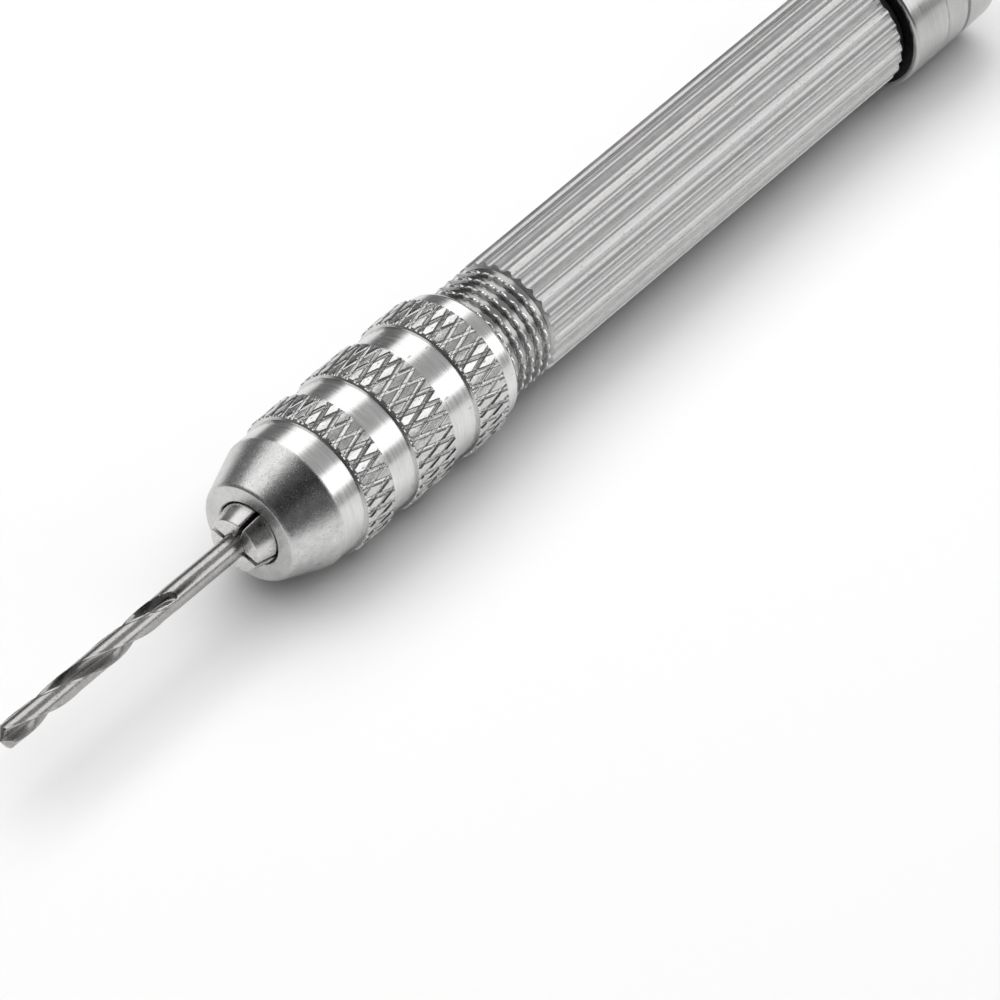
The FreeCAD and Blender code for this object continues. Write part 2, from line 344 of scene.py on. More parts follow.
def knurlRows():
    s = sleeveSize
    columns = int(knurlSize["Starts"]) * s["columnsPerStart"]
    halfColumn = fullTurn * s["knurlRadius"] / columns / 2
    rowStep = halfColumn / math.tan(math.radians(knurlSize["Helix"]))
    rows = rounded([(0, s["mouthRadius"] + 0.1, 0), (0, s["noseRadius"] - s["noseEdge"], 0.05),
                    (s["noseEdge"], s["noseRadius"], 0.08), (s["noseConeEnd"], s["bandRadius"], 0.1),
                    (s["bands"][0][0], s["bandRadius"], 0)], 0, 2)[:-1]
    for start, end in s["bands"]:
        full, top, wall = s["knurlRadius"], start + s["knurlEdge"] * 0.7, s["knurlRadius"] - s["knurlEdge"]
        rows += [(start - 0.2, s["bandRadius"], 0, 1), (start - 0.1, s["bandRadius"], 0, 1),
                 (start - 0.015, s["bandRadius"] + 0.015, 0, 1),
                 (start, wall, 0, 1), (top, full - 0.015, 0, 1)]
        step = math.ceil(top / rowStep)
        while step * rowStep < end - s["knurlEdge"]:
            rows.append((step * rowStep, full, step % 2, 2))
            step += 1
        rows += [(end - s["knurlEdge"] * 0.8, full, 0, 2), (end, wall, 0, 2),
                 (end + 0.015, s["bandRadius"] + 0.015, 0, 1), (end + 0.1, s["bandRadius"], 0, 1),
                 (end + 0.2, s["bandRadius"], 0, 1)]
    rim = rounded([(s["bands"][-1][1] + 0.1, s["bandRadius"], 0),
                   (s["rimLand"], s["bandRadius"] - 0.04, 0.15),
                   (s["length"] - 0.08, s["rimRadius"] + 0.05, 0.05),
                   (s["length"], s["rimRadius"] - 0.06, 0.04),
                   (s["length"], s["boreRadius"] + 0.04, 0), (s["roomEnd"], s["boreRadius"], 0),
                   (s["roomEnd"], s["roomRadius"], 0), (s["coneEnd"], s["roomRadius"], 0),
                   (0.08, s["mouthRadius"], 0)], 1, 5)
    return rows + rim[1:], columns


def geometryTree(name, inputs):
    tree = bpy.data.node_groups.new(name, "GeometryNodeTree")
    tree.interface.new_socket("Geometry", in_out="INPUT", socket_type="NodeSocketGeometry")
    for title in inputs:
        tree.interface.new_socket(title, in_out="INPUT", socket_type="NodeSocketFloat")
    tree.interface.new_socket("Geometry", in_out="OUTPUT", socket_type="NodeSocketGeometry")
    return tree, tree.nodes.new("NodeGroupInput"), tree.nodes.new("NodeGroupOutput")


def polar(tree):
    # a point's place in mm behind the nose, its radius in mm and its turn in radians
    position = tree.nodes.new("GeometryNodeInputPosition")
    split = tree.nodes.new("ShaderNodeSeparateXYZ")
    tree.links.new(position.outputs[0], split.inputs[0])
    behind = calc(tree, "DIVIDE", calc(tree, "SUBTRACT", split.outputs[0], noseX), mm)
    side = calc(tree, "MULTIPLY", split.outputs[1], -1.0 / mm)
    up = calc(tree, "DIVIDE", calc(tree, "SUBTRACT", split.outputs[2], axisZ), mm)
    radius = calc(tree, "SQRT", calc(tree, "ADD", calc(tree, "MULTIPLY", side, side),
                                     calc(tree, "MULTIPLY", up, up)))
    return behind, radius, calc(tree, "ARCTAN2", side, up)


def setRadius(tree, geometry, radius, newRadius, selection):
    # moves points straight in or out from the tool axis
    position = tree.nodes.new("GeometryNodeInputPosition")
    centre = tree.nodes.new("ShaderNodeCombineXYZ")
    split = tree.nodes.new("ShaderNodeSeparateXYZ")
    tree.links.new(position.outputs[0], split.inputs[0])
    tree.links.new(split.outputs[0], centre.inputs[0])
    centre.inputs[2].default_value = axisZ
    arm = tree.nodes.new("ShaderNodeVectorMath")
    arm.operation = "SUBTRACT"
    tree.links.new(position.outputs[0], arm.inputs[0])
    tree.links.new(centre.outputs[0], arm.inputs[1])
    scaled = tree.nodes.new("ShaderNodeVectorMath")
    scaled.operation = "SCALE"
    tree.links.new(arm.outputs[0], scaled.inputs[0])
    feed(tree, scaled.inputs["Scale"], calc(tree, "DIVIDE", newRadius, radius))
    total = tree.nodes.new("ShaderNodeVectorMath")
    total.operation = "ADD"
    tree.links.new(centre.outputs[0], total.inputs[0])
    tree.links.new(scaled.outputs[0], total.inputs[1])
    mover = tree.nodes.new("GeometryNodeSetPosition")
    tree.links.new(geometry, mover.inputs["Geometry"])
    tree.links.new(total.outputs[0], mover.inputs["Position"])
    tree.links.new(selection, mover.inputs["Selection"])
    return mover.outputs[0]


def storeValue(tree, geometry, name, value):
    node = tree.nodes.new("GeometryNodeStoreNamedAttribute")
    node.data_type = "FLOAT"
    node.domain = "POINT"
    tree.links.new(geometry, node.inputs["Geometry"])
    node.inputs["Name"].default_value = name
    feed(tree, node.inputs["Value"], value)
    return node.outputs[0]


def finishTree(tree, geometry, result, materialNumber, material):
    realize = tree.nodes.new("GeometryNodeRealizeInstances")
    tree.links.new(geometry, realize.inputs[0])
    index = tree.nodes.new("GeometryNodeInputMaterialIndex")
    chosen = tree.nodes.new("FunctionNodeCompare")
    chosen.data_type = "INT"
    chosen.operation = "EQUAL"
    tree.links.new(index.outputs[0], chosen.inputs[2])
    chosen.inputs[3].default_value = materialNumber
    setter = tree.nodes.new("GeometryNodeSetMaterial")
    setter.inputs["Material"].default_value = material
    tree.links.new(realize.outputs[0], setter.inputs["Geometry"])
    tree.links.new(chosen.outputs[0], setter.inputs["Selection"])
    tree.links.new(setter.outputs[0], result.inputs[0])


def runTree(piece, tree, values):
    # the finished tree's result becomes the piece's own mesh, and the modifier goes
    modifier = piece.modifiers.new(tree.name, "NODES")
    modifier.node_group = tree
    for item in tree.interface.items_tree:
        if item.in_out == "INPUT" and item.name in values:
            modifier[item.identifier] = float(values[item.name])
    bpy.context.view_layer.update()
    evaluated = piece.evaluated_get(bpy.context.evaluated_depsgraph_get())
    mesh = bpy.data.meshes.new_from_object(evaluated)
    piece.modifiers.remove(modifier)
    piece.data = mesh
    return piece


def grooveDistance(tree, behind, turn, starts, tilt):
    # how far a point is from the nearest groove of one family, as a share of the groove spacing
    winding = calc(tree, "MULTIPLY", turn, calc(tree, "DIVIDE", starts, fullTurn))
    place = calc(tree, "ADD", winding, calc(tree, "MULTIPLY", behind, tilt))
    return calc(tree, "ABSOLUTE", calc(tree, "SUBTRACT", calc(tree, "FRACT", place), 0.5))


def knurlTree():
    # two families of flat-floored grooves with steep walls; the first is the deeper one
    tree, given, result = geometryTree("diamondKnurl", list(knurlSize))
    get = given.outputs
    behind, radius, turn = polar(tree)
    spacing = calc(tree, "DIVIDE", calc(tree, "MULTIPLY", get["Radius"], fullTurn), get["Starts"])
    lean = calc(tree, "TANGENT", calc(tree, "MULTIPLY", get["Helix"], math.pi / 180))
    tilt = calc(tree, "DIVIDE", lean, spacing)
    half = calc(tree, "DIVIDE", calc(tree, "MULTIPLY", get["Groove Width"], 0.5), spacing)
    inner = calc(tree, "MULTIPLY", half, get["Floor Share"])
    cuts, footShadeLines = [], []
    line = calc(tree, "DIVIDE", get["Foot Line"], spacing)
    for sign, depth in ((1.0, get["Groove Depth"]), (-1.0, get["Second Depth"])):
        away = grooveDistance(tree, behind, turn, get["Starts"], calc(tree, "MULTIPLY", tilt, sign))
        wall = ramp(tree, away, inner, half, depth, 0.0)
        ridge = ramp(tree, away, 0.0, calc(tree, "MULTIPLY", inner, 0.8), get["Floor Ridge"], 0.0)
        cuts.append(calc(tree, "SUBTRACT", wall, ridge))
        fromFoot = calc(tree, "ABSOLUTE", calc(tree, "SUBTRACT", away, calc(tree, "MULTIPLY", inner, 1.15)))
        footShadeLines.append(ramp(tree, fromFoot, 0.0, line, 1.0, 0.0))
    sunk = calc(tree, "MAXIMUM", calc(tree, "MAXIMUM", cuts[0], cuts[1]), 0.0)
    wanted = calc(tree, "MINIMUM", radius, calc(tree, "SUBTRACT", get["Radius"], sunk))
    onKnurl = tree.nodes.new("FunctionNodeCompare")
    onKnurl.operation = "GREATER_THAN"
    feed(tree, onKnurl.inputs[0], radius)
    feed(tree, onKnurl.inputs[1], calc(tree, "SUBTRACT", get["Radius"], 0.3))
    # a thin line along each groove wall's foot is stored as the mask for painted shade in the crease
    stored = storeValue(tree, given.outputs[0], "groove", calc(tree, "MAXIMUM", footShadeLines[0], footShadeLines[1]))
    moved = setRadius(tree, stored, radius, wanted, onKnurl.outputs[0])
    finishTree(tree, moved, result, 2, knurledMetal)
    return tree


sleeveRows, sleeveColumns = knurlRows()
sleeve = lathe("chuckSleeve", sleeveRows, sleeveColumns, [satinNose, turnedBand, knurledMetal], looped=True)
runTree(sleeve, knurlTree(), knurlSize)
sharpen(sleeve, 28)
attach(sleeve, "sleeve")
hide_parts("chuck_sleeve")
print("sleeve made, %d faces" % len(sleeve.data.polygons))


# grip: uneven flutes, and the screw thread cut across them
# its groove colour is painted shade in the flute bowls
gripMetal = metal("drawn grip", {
    "along": 90, "across": 4200, "blotch": 900, "dark": grey(0.5, 0.006), "light": grey(0.68, 0.006),
    "groove": grey(0.5, 0.006), "grooveShadeAmount": 0.35,
    "pit": grey(0.3), "pitSize": 7500, "pitAmount": 0.3, "pitDepth": 0.000003,
    "smoothest": 0.28, "roughest": 0.45, "relief": 0.00001, "bump": 0.7})
# its groove colour is painted shade on the thread flanks, between the ridges
threadMetal = metal("cut thread", {
    "along": 7000, "across": 500, "blotch": 900, "dark": grey(0.85, 0.006), "light": grey(0.95, 0.006),
    "groove": grey(0.36, 0.006), "grooveShadeAmount": 1.0,
    "pit": grey(0.2), "pitSize": 4000, "pitAmount": 0.08, "pitDepth": 0.000004,
    "smoothest": 0.14, "roughest": 0.24, "relief": 0.000003, "bump": 0.5})

gripSize = {
    "front": gripFront, "threadShown": 23.6, "rear": gripRear, "columnsPerFlute": 16, "rowsPerPitch": 20,
    "seatRadius": 3.35, "seatTaper": 18.3, "seatEnd": 22.5, "seatEndRadius": 2.4,
    "passageRadius": 1.75, "passageEnd": 52.5,
    "pivotRadius": 1.5, "pivotDepth": 10.0, "stretchRows": 24,
}
fluteSize = {
    "Radius": 5.25, "Flutes": 27.0, "Turn": 10.1, "Flute Depth": 0.24, "Flute Width": 0.8,
    "Unevenness": 0.16, "Pitch": 1.05, "Thread Depth": 0.42, "Crest": 0.12, "Ridge Base": 0.4,
    "Crest Flute": 0.7,
    "Thread Phase": 0.35, "Thread End": 31.75,
}


def gripRows():
    s = gripSize
    radius, end = fluteSize["Radius"], fluteSize["Thread End"]
    plain = radius - 0.12
    rows = [(s["passageEnd"], 0, 0, 0), (s["passageEnd"], s["passageRadius"], 0, 0),
            (s["seatEnd"] + 0.5, s["passageRadius"], 0, 0), (s["seatEnd"], s["seatEndRadius"], 0, 0),
            (s["seatTaper"], s["seatRadius"], 0, 0), (s["front"], s["seatRadius"], 0, 0),
            (s["front"], plain - 0.3, 0, 1), (s["front"] + 0.3, plain, 0, 1),
            (s["threadShown"] - 0.2, plain, 0, 1)]
    step = 1 / s["rowsPerPitch"]
    count = round((end - s["threadShown"]) / step)
    rows += [(s["threadShown"] + number * step, radius, 0, 1) for number in range(count + 1)]
    rows += [(end + number * step, radius, 0, 0) for number in range(1, 9)]
    first = end + 9 * step
    rows += [(first + (s["rear"] - 0.1 - first) * number / s["stretchRows"], radius, 0, 0)
             for number in range(s["stretchRows"] + 1)]
    rows += [(s["rear"], radius - 0.1, 0, 0), (s["rear"], s["pivotRadius"], 0, 0),
             (s["rear"] - s["pivotDepth"], s["pivotRadius"], 0, 0), (s["rear"] - s["pivotDepth"], 0, 0, 0)]
    return rows


def gripTree():
    tree, given, result = geometryTree("flutesAndThread", list(fluteSize))
    get = given.outputs
    behind, radius, turn = polar(tree)
    start = calc(tree, "MULTIPLY", get["Turn"], math.pi / 180)
    place = calc(tree, "MULTIPLY", calc(tree, "SUBTRACT", turn, start),
                 calc(tree, "DIVIDE", get["Flutes"], fullTurn))
    number = calc(tree, "ROUND", place)
    wrapped = calc(tree, "FLOORED_MODULO", number, get["Flutes"])
    chance = []
    for seed in (11, 23, 37):
        draw = tree.nodes.new("FunctionNodeRandomValue")
        draw.data_type = "FLOAT"
        draw.inputs[2].default_value = -1.0
        draw.inputs[3].default_value = 1.0
        feed(tree, draw.inputs["ID"], wrapped)
        draw.inputs["Seed"].default_value = seed
        chance.append(calc(tree, "MULTIPLY", draw.outputs[1], get["Unevenness"]))
    away = calc(tree, "ABSOLUTE", calc(tree, "SUBTRACT", calc(tree, "SUBTRACT", place, number),
                                       calc(tree, "MULTIPLY", chance[0], 0.5)))
    halfWidth = calc(tree, "MULTIPLY", get["Flute Width"],
                     calc(tree, "ADD", 0.5, calc(tree, "MULTIPLY", chance[1], 0.5)))
    share = calc(tree, "MINIMUM", calc(tree, "DIVIDE", away, halfWidth), 1.0)
    bowl = calc(tree, "SUBTRACT", 1.0, calc(tree, "POWER", share, 2.2))
    deep = calc(tree, "MULTIPLY", get["Flute Depth"], calc(tree, "ADD", 1.0, chance[2]))
    flute = calc(tree, "MULTIPLY", deep, bowl)

    winding = calc(tree, "DIVIDE", turn, fullTurn)
    turns = calc(tree, "DIVIDE", calc(tree, "SUBTRACT", behind, get["Thread End"]), get["Pitch"])
    alongThread = calc(tree, "ADD", calc(tree, "SUBTRACT", turns, winding), get["Thread Phase"])
    fromCrest = calc(tree, "ABSOLUTE", calc(tree, "SUBTRACT", calc(tree, "FRACT", alongThread), 0.5))
    thread = ramp(tree, fromCrest, calc(tree, "MULTIPLY", get["Crest"], 0.5),
                  calc(tree, "MULTIPLY", get["Ridge Base"], 0.5), 0.0, get["Thread Depth"])
    neck = ramp(tree, behind, calc(tree, "SUBTRACT", get["Thread End"], 0.45),
                calc(tree, "SUBTRACT", get["Thread End"], 0.25), 0.0, get["Thread Depth"])
    before = ramp(tree, behind, calc(tree, "SUBTRACT", get["Thread End"], 0.02),
                  calc(tree, "ADD", get["Thread End"], 0.28), get["Thread Depth"], 0.0)
    cut = calc(tree, "MINIMUM", calc(tree, "MAXIMUM", thread, neck), before)
    onThread = ramp(tree, behind, calc(tree, "SUBTRACT", get["Thread End"], 0.02),
                    calc(tree, "ADD", get["Thread End"], 0.28), get["Crest Flute"], 1.0)
    sunk = calc(tree, "MAXIMUM", calc(tree, "MULTIPLY", flute, onThread), cut)
    wanted = calc(tree, "MINIMUM", radius, calc(tree, "SUBTRACT", get["Radius"], sunk))
    outside = tree.nodes.new("FunctionNodeCompare")
    outside.operation = "GREATER_THAN"
    feed(tree, outside.inputs[0], radius)
    feed(tree, outside.inputs[1], calc(tree, "SUBTRACT", get["Radius"], 0.11))
    halfDepth = calc(tree, "MULTIPLY", get["Thread Depth"], 0.5)
    threadFlankShade = calc(tree, "MINIMUM", calc(tree, "DIVIDE", cut, halfDepth), 1.0)
    # the flute bowls and thread flanks are stored as the mask for a darker colour: painted shade in the flutes
    # and thread valleys
    stored = storeValue(tree, given.outputs[0], "groove", calc(tree, "MAXIMUM", bowl, threadFlankShade))
    moved = setRadius(tree, stored, radius, wanted, outside.outputs[0])
    finishTree(tree, moved, result, 1, threadMetal)
    return tree


grip = lathe("flutedGrip", gripRows(), int(fluteSize["Flutes"]) * gripSize["columnsPerFlute"],
             [gripMetal, threadMetal])
runTree(grip, gripTree(), fluteSize)
sharpen(grip, 24)
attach(grip, "grip")
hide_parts("handle")
print("grip made, %d faces" % len(grip.data.polygons))


# its groove colour is painted shade in the flutes
drillMetal = metal("drill steel", {
    "along": 4200, "across": 5200, "blotch": 1500, "dark": grey(0.34, 0.02), "light": grey(0.5, 0.015),
    "groove": grey(0.25, 0.02), "grooveShadeAmount": 0.75,
    "pit": grey(0.2), "pitSize": 6000, "pitAmount": 0.15, "pitDepth": 0.000004,
    "smoothest": 0.18, "roughest": 0.3, "relief": 0.000008, "bump": 0.5})

drillSize = {
    "tip": drillTip, "rear": drillRear, "radius": 1.0, "clearedRadius": 0.965, "marginFrom": 12.0,
    "web": 0.2, "fluteAngle": 74.0, "lead": 20.0, "fluteFull": -13.8, "fluteEnd": -9.5, "pointAngle": 118.0,
    "columns": 120, "rowStep": 0.16, "facingAt": -19.4, "facingTurn": 34.0,
}


def drillTwist(position):
    s = drillSize
    turns = (min(position, s["fluteEnd"]) - s["facingAt"]) / s["lead"]
    return math.radians(s["facingTurn"]) + turns * fullTurn


def drillRadius(position, degrees):
    # degrees are counted from the middle of one flute; flutes grow shallow and narrow at their end
    s = drillSize
    fromFlute = abs((degrees + 90) % 180 - 90)
    fade = min(1.0, max(0.0, (s["fluteEnd"] - position) / (s["fluteEnd"] - s["fluteFull"])))
    fade = math.sqrt(1 - (1 - fade) ** 2)
    half = s["fluteAngle"] / 2 * fade ** 0.4
    outer = s["radius"]
    if fromFlute > half + s["marginFrom"]:
        outer -= (s["radius"] - s["clearedRadius"]) * fade
    if fromFlute < half:
        share = fromFlute / half
        floor = s["radius"] - (s["radius"] - s["web"]) * fade
        outer = min(outer, floor + (s["radius"] - floor) * (0.55 * share ** 2 + 0.45 * share ** 6))
    cone = (position - s["tip"]) * math.tan(math.radians(s["pointAngle"] / 2))
    return max(0.012, min(outer, cone))


def makeDrill():
    s = drillSize
    positions = []
    position = s["tip"] + 0.02
    while position < s["fluteEnd"] + 0.2:
        positions.append(position)
        position += 0.04 if position < s["tip"] + 0.7 else s["rowStep"]
    positions += [-5.0, 0.0, 10.0, s["rear"] - 0.15]
    points, depth = [ringPoint(s["tip"], 0, 0)], [0.0]
    for position in positions:
        for column in range(s["columns"]):
            section = 360 * column / s["columns"]
            radius = drillRadius(position, section)
            points.append(ringPoint(position, radius, math.radians(section) + drillTwist(position)))
            # how far a point lies below the full radius is kept as the mask for a darker colour: painted shade
            # in the flutes
            depth.append(min(1.0, (s["radius"] - radius) / 0.3) if position > s["tip"] + 0.65 else 0.3)
    for column in range(s["columns"]):
        points.append(ringPoint(s["rear"], s["radius"] - 0.15,
                                fullTurn * column / s["columns"] + drillTwist(s["rear"])))
        depth.append(0.0)
    points.append(ringPoint(s["rear"], 0, 0))
    depth.append(0.0)
    faces = [(0, 1 + (k + 1) % s["columns"], 1 + k) for k in range(s["columns"])]
    for row in range(len(positions)):
        first = 1 + row * s["columns"]
        faces += ringFaces(first, first + s["columns"], s["columns"], 0)
    last = 1 + len(positions) * s["columns"]
    faces += [(last + k, last + (k + 1) % s["columns"], len(points) - 1) for k in range(s["columns"])]
    mesh = bpy.data.meshes.new("twistDrill")
    mesh.from_pydata(points, [], faces)
    mesh.materials.append(drillMetal)
    groove = mesh.attributes.new("groove", "FLOAT", "POINT")
    groove.data.foreach_set("value", depth)
    return showMesh("twistDrill", mesh)


drill = makeDrill()
sharpen(drill, 32)
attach(drill, "bit")
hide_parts("drill_bit")
print("drill made, %d faces" % len(drill.data.polygons))


colletMetal = metal("collet steel", {
    "along": 3500, "across": 3500, "blotch": 900, "dark": grey(0.58, 0.012), "light": grey(0.74, 0.012),
    "pit": grey(0.35), "pitSize": 5000, "pitAmount": 0.25, "pitDepth": 0.000006,
    "smoothest": 0.22, "roughest": 0.34, "relief": 0.000008, "bump": 0.6})

colletSize = {
    "front": colletFront, "faceRadius": 2.35, "slope": math.tan(math.radians(12.7)), "radius": 3.3,
    "root": colletRoot, "gripRadius": 1.015, "gripEnd": 4.25, "boreRadius": 1.7, "slit": 0.4, "slitTurn": 18.5,
    "fingers": 4, "columns": 18, "edge": 0.1,
}


def makeFinger(number):
    # a sector of the tapered tube between two slits, closed and with its edges broken
    s = colletSize
    taperEnd = s["front"] + (s["radius"] - s["faceRadius"]) / s["slope"]
    outline = [(s["front"], s["gripRadius"]), (s["front"], s["faceRadius"]), (taperEnd, s["radius"]),
               (s["root"], s["radius"]), (s["root"], s["boreRadius"]), (s["gripEnd"], s["boreRadius"]),
               (s["gripEnd"], s["gripRadius"])]
    middle = math.radians(s["slitTurn"] + 45 + 90 * number)
    points, faces = [], []
    for position, radius in outline:
        reach = math.pi / 4 - math.asin(s["slit"] / 2 / radius)
        for column in range(s["columns"] + 1):
            points.append(ringPoint(position, radius, middle + reach * (2 * column / s["columns"] - 1)))
    wide = s["columns"] + 1
    for row in range(len(outline)):
        after = (row + 1) % len(outline)
        for column in range(s["columns"]):
            faces.append((row * wide + column, row * wide + column + 1,
                          after * wide + column + 1, after * wide + column))
    faces.append([row * wide for row in range(len(outline))])
    faces.append([row * wide + s["columns"] for row in reversed(range(len(outline)))])
    mesh = bpy.data.meshes.new("colletFinger%d" % (number + 1))
    mesh.from_pydata(points, [], faces)
    mesh.materials.append(colletMetal)
    piece = showMesh("colletFinger%d" % (number + 1), mesh)
    bevel = piece.modifiers.new("brokenEdges", "BEVEL")
    bevel.width = s["edge"] * mm
    bevel.segments = 3
    bevel.angle_limit = math.radians(40)
    return piece


for number in range(colletSize["fingers"]):
    finger = makeFinger(number)
    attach(finger, "finger_%d" % (number + 1))
    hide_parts("collet_finger_%d" % (number + 1))
print("collet fingers made")


# swivel cap, its rear disc and the black washer
capMetal = metal("satin cap", {
    "along": 6500, "across": 300, "blotch": 450, "dark": grey(0.42, 0.006), "light": grey(0.54, 0.006),
    "pit": grey(0.36), "pitSize": 2600, "pitAmount": 0.02, "pitDepth": 0.000002,
    "smoothest": 0.2, "roughest": 0.28, "relief": 0.000001, "bump": 0.3})
# a near-black metal for the cap's flat front face: painted shade standing in for the shadow in the gap behind
# the grip
capFaceShade = metal("cap face painted shade", {
    "along": 3000, "across": 3000, "blotch": 600, "dark": grey(0.03), "light": grey(0.06),
    "pit": grey(0.02), "pitSize": 2600, "pitAmount": 0.1, "pitDepth": 0.000002,
    "smoothest": 0.4, "roughest": 0.55, "relief": 0.000002, "bump": 0.3})

capSize = {
    "front": capFront, "rear": capRear, "frontRadius": 6.14, "rearRadius": 6.0, "frontRound": 0.35,
    "rearRound": 1.2, "lineAt": 83.8, "lineHalf": 0.1, "lineDepth": 0.07, "grooveAt": 86.7,
    "grooveHalf": 0.26, "grooveDepth": 0.22, "bushRadius": 3.0, "bushEnd": 84.3, "chamberRadius": 3.7,
    "columns": 144,
}


def capRadius(position):
    s = capSize
    share = (position - s["front"]) / (s["rear"] - s["front"])
    return s["frontRadius"] + (s["rearRadius"] - s["frontRadius"]) * share


def makeCap():
    s = capSize
    corners = [(s["front"], s["bushRadius"], 0), (s["front"], s["frontRadius"], s["frontRound"])]
    for at, half, depth in ((s["lineAt"], s["lineHalf"], s["lineDepth"]),
                            (s["grooveAt"], s["grooveHalf"], s["grooveDepth"])):
        corners += [(at - half, capRadius(at - half), 0.03), (at - half * 0.7, capRadius(at) - depth, 0.02),
                    (at + half * 0.7, capRadius(at) - depth, 0.02), (at + half, capRadius(at + half), 0.03)]
    corners += [(s["rear"], s["rearRadius"], s["rearRound"]), (s["rear"], s["chamberRadius"] + 0.02, 0),
                (s["bushEnd"], s["chamberRadius"], 0), (s["bushEnd"], s["bushRadius"], 0)]
    rows = rounded(corners, 0, 8)
    # the flat front face gets the near-black painted shade
    rows[1] = rows[1][:3] + (1,)                          # the flat front face is the dark one
    return lathe("swivelCap", rows, s["columns"], [capMetal, capFaceShade], looped=True)


cap = makeCap()
sharpen(cap, 35)
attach(cap, "cap")
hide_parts("swivel_cap")

discSize = {"radius": 3.68, "frontRound": 0.1, "rearRound": 0.15}
discCorners = [(discFront, 0, 0), (discFront, discSize["radius"], discSize["frontRound"]),
               (discRear, discSize["radius"], discSize["rearRound"]), (discRear, 0, 0)]
plug = lathe("capDisc", rounded(discCorners, 0), capSize["columns"], [capMetal])
sharpen(plug, 35)
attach(plug, "cap")
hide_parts("cap_plug")


def blackPlastic():
    material = bpy.data.materials.new("black acetal")
    material.use_nodes = True
    tree = material.node_tree
    shader = tree.nodes["Principled BSDF"]
    marks = placeGroup(tree, streaks, Along=5000.0, Across=600.0, Blotch=900.0)
    feed(tree, shader.inputs["Base Color"],
         blendColours(tree, marks.outputs["Broad"], grey(0.006), grey(0.02)))
    feed(tree, shader.inputs["Roughness"], ramp(tree, marks.outputs["Fine"], 0.3, 0.7, 0.38, 0.55))
    bump = tree.nodes.new("ShaderNodeBump")
    bump.inputs["Strength"].default_value = 0.4
    feed(tree, bump.inputs["Height"], calc(tree, "MULTIPLY", marks.outputs["Fine"], 0.000005))
    feed(tree, shader.inputs["Normal"], bump.outputs[0])
    return material


washerSize = {"inner": 2.05, "outer": 4.75, "round": 0.1}
washerCorners = [(washerFront, washerSize["inner"], 0),
                 (washerFront, washerSize["outer"], washerSize["round"]),
                 (washerRear, washerSize["outer"], washerSize["round"]),
                 (washerRear, washerSize["inner"], 0)]
washer = lathe("thrustWasher", rounded(washerCorners, 0), capSize["columns"], [blackPlastic()], looped=True)
sharpen(washer, 35)
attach(washer, "grip")
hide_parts("thrust_washer")
print("cap and washer made")


# the pieces that keep their CAD shape
zinc = metal("bright zinc", {
    "along": 3000, "across": 3000, "blotch": 800, "dark": grey(0.5), "light": grey(0.66, -0.01),
    "pit": grey(0.4), "pitSize": 3000, "pitAmount": 0.1, "pitDepth": 0.000003,
    "smoothest": 0.14, "roughest": 0.24, "relief": 0.000003})
bronze = metal("sintered bronze", {
    "along": 4000, "across": 4000, "blotch": 900,
    "dark": (0.42, 0.25, 0.11, 1), "light": (0.6, 0.38, 0.18, 1),
    "pit": (0.2, 0.12, 0.05, 1), "pitSize": 5000, "pitAmount": 0.4, "pitDepth": 0.000006,
    "smoothest": 0.3, "roughest": 0.45, "relief": 0.000006})
keptNodes = {"collet_core": colletMetal, "pivot_screw": zinc, "head_washer": zinc, "bearing_bush": bronze}
for nodeName, material in keptNodes.items():
    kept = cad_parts[nodeName].data.materials
    kept.clear()
    kept.append(material)
print("kept nodes coloured")


# floor, light and camera
# the floor is pale within fadeFrom metres of the tool and darkens to farShade by fadeTo: a painted pool of
# light round the tool
stageSize = {"floorHalf": 3.0, "floorShade": 0.7, "farShade": 0.3, "fadeFrom": 0.1, "fadeTo": 0.24,
             "lightRing": 0.5}
# turn is degrees from straight up towards -Y, reach is along X, in metres
lights = {
    "frontSoftbox": {"turn": 55, "reach": (0.17, 0.62), "spread": 34, "radiance": 1.25, "mirrored": True},
    "backSoftbox": {"turn": -28, "reach": (-0.30, 0.62), "spread": 42, "radiance": 1.15, "mirrored": True},
    "overhead": {"turn": -5, "reach": (-0.6, 0.6), "spread": 76, "radiance": 1.75, "mirrored": False},
}
room = {"dim": 0.13, "bright": 0.46, "backShade": 0.17,
        "gapDirection": (-0.09, -0.55, 0.83), "gapShade": 0.05, "gapFrom": 0.9, "gapTo": 0.985,
        "alongFrom": 0.1, "alongTo": 0.55, "lowTo": 0.5, "lowTilt": 0.6}
view = {"azimuth": -51.7, "elevation": 42.6, "lens": 288.0, "sensor": 36.0, "depth": 0.6180,
        "right": -0.01942, "down": 0.00261}


def makeFloor():
    half = stageSize["floorHalf"]
    mesh = bpy.data.meshes.new("floor")
    corners = [(-half, -half, 0), (half, -half, 0), (half, half, 0), (-half, half, 0)]
    mesh.from_pydata(corners, [], [(0, 1, 2, 3)])
    material = bpy.data.materials.new("pale floor")
    material.use_nodes = True
    tree = material.node_tree
    shader = tree.nodes["Principled BSDF"]
    coordinates = tree.nodes.new("ShaderNodeTexCoord")
    reach = tree.nodes.new("ShaderNodeVectorMath")
    reach.operation = "LENGTH"
    tree.links.new(coordinates.outputs["Object"], reach.inputs[0])
    # painted pool of light: floorShade near the tool, farShade further out
    paintedPoolFade = ramp(tree, reach.outputs["Value"], stageSize["fadeFrom"], stageSize["fadeTo"], 0.0, 1.0, True)
    feed(tree, shader.inputs["Base Color"],
         blendColours(tree, paintedPoolFade, grey(stageSize["floorShade"]), grey(stageSize["farShade"])))
    shader.inputs["Roughness"].default_value = 0.7
    mesh.materials.append(material)
    floor = bpy.data.objects.new("floor", mesh)
    bpy.context.scene.collection.objects.link(floor)


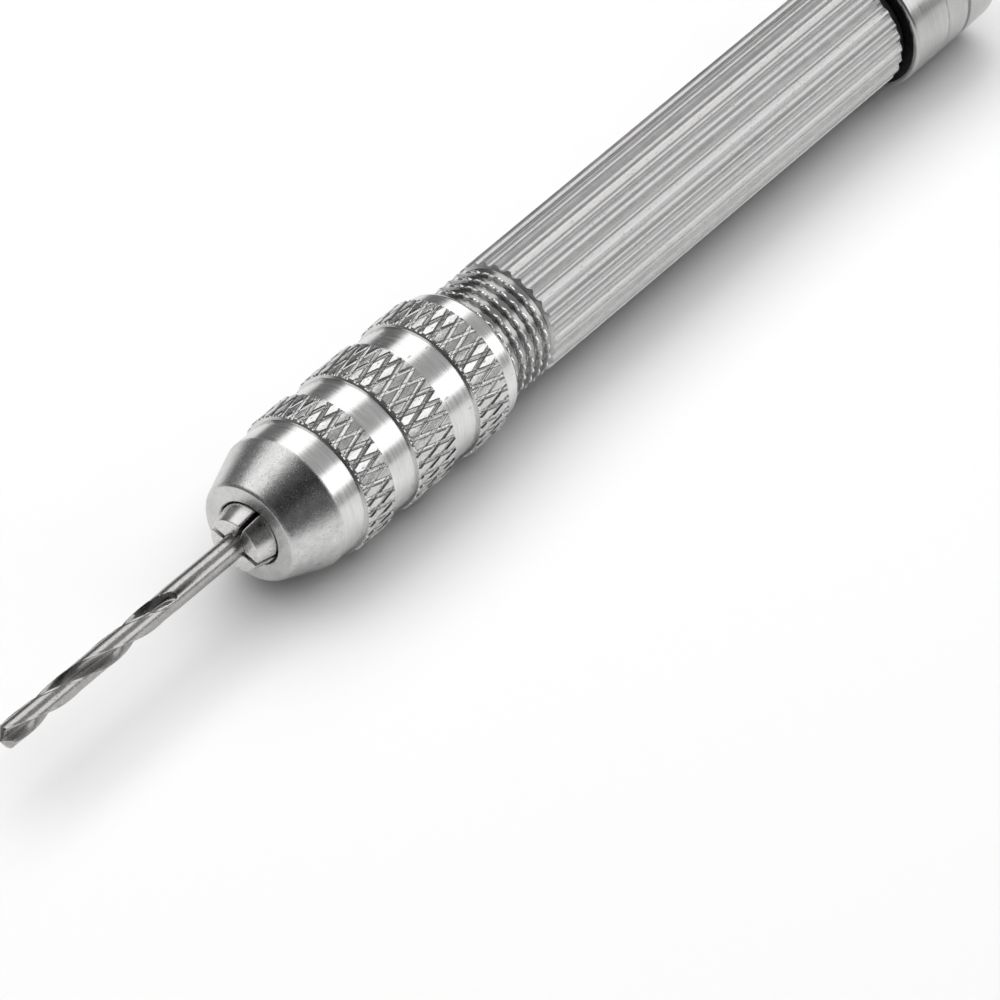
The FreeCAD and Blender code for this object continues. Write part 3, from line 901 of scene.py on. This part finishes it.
def makeLights():
    ring = stageSize["lightRing"]
    for name, given in lights.items():
        start, end = given["reach"]
        width, height = end - start, 2 * ring * math.tan(math.radians(given["spread"] / 2))
        light = bpy.data.lights.new(name, "AREA")
        light.shape = "RECTANGLE"
        light.size, light.size_y = width, height
        light.energy = given["radiance"] * math.pi * width * height
        turn = math.radians(given["turn"])
        lamp = bpy.data.objects.new(name, light)
        lamp.location = ((start + end) / 2, -ring * math.sin(turn), ring * math.cos(turn))
        lamp.rotation_euler = (turn, 0, 0)
        lamp.visible_glossy = given["mirrored"]
        bpy.context.scene.collection.objects.link(lamp)


def makeRoom():
    # a dim room that brightens towards +X, darkens low down behind the tool and has one black gap overhead
    world = bpy.data.worlds.new("softRoom")
    world.use_nodes = True
    tree = world.node_tree
    coordinates = tree.nodes.new("ShaderNodeTexCoord")
    split = tree.nodes.new("ShaderNodeSeparateXYZ")
    tree.links.new(coordinates.outputs["Generated"], split.inputs[0])
    along = ramp(tree, split.outputs[0], room["alongFrom"], room["alongTo"],
                 room["dim"], room["bright"], True)
    tilted = calc(tree, "MULTIPLY", split.outputs[2], room["lowTilt"])
    behind = calc(tree, "SUBTRACT", split.outputs[1], tilted)
    low = ramp(tree, behind, 0.0, room["lowTo"], 0.0, 1.0, True)
    shade = calc(tree, "ADD", calc(tree, "MULTIPLY", along, calc(tree, "SUBTRACT", 1.0, low)),
                 calc(tree, "MULTIPLY", low, room["backShade"]))
    gap = tree.nodes.new("ShaderNodeVectorMath")
    gap.operation = "DOT_PRODUCT"
    tree.links.new(coordinates.outputs["Generated"], gap.inputs[0])
    gap.inputs[1].default_value = room["gapDirection"]
    opening = ramp(tree, gap.outputs["Value"], room["gapFrom"], room["gapTo"], 1.0, room["gapShade"], True)
    shade = calc(tree, "MULTIPLY", shade, opening)
    colour = tree.nodes.new("ShaderNodeCombineColor")
    for socket in colour.inputs[:3]:
        feed(tree, socket, shade)
    feed(tree, tree.nodes["Background"].inputs["Color"], colour.outputs[0])
    bpy.context.scene.world = world


def makeCamera():
    azimuth, elevation = math.radians(view["azimuth"]), math.radians(view["elevation"])
    right = Vector((math.cos(azimuth), math.sin(azimuth), 0))
    forward = Vector((-math.sin(azimuth) * math.cos(elevation), math.cos(azimuth) * math.cos(elevation),
                      -math.sin(elevation)))
    up = right.cross(forward)
    noseCentre = Vector((noseX, 0, axisZ))
    place = noseCentre - forward * view["depth"] - right * view["right"] + up * view["down"]
    data = bpy.data.cameras.new("camera")
    data.lens = view["lens"]
    data.sensor_width = view["sensor"]
    data.clip_start = 0.01
    data.clip_end = 20
    camera = bpy.data.objects.new("camera", data)
    camera.location = place
    camera.rotation_euler = forward.to_track_quat("-Z", "Y").to_euler()
    bpy.context.scene.collection.objects.link(camera)
    bpy.context.scene.camera = camera


makeFloor()
makeLights()
makeRoom()
makeCamera()
bpy.context.scene.view_settings.view_transform = "Standard"
print("stage set")
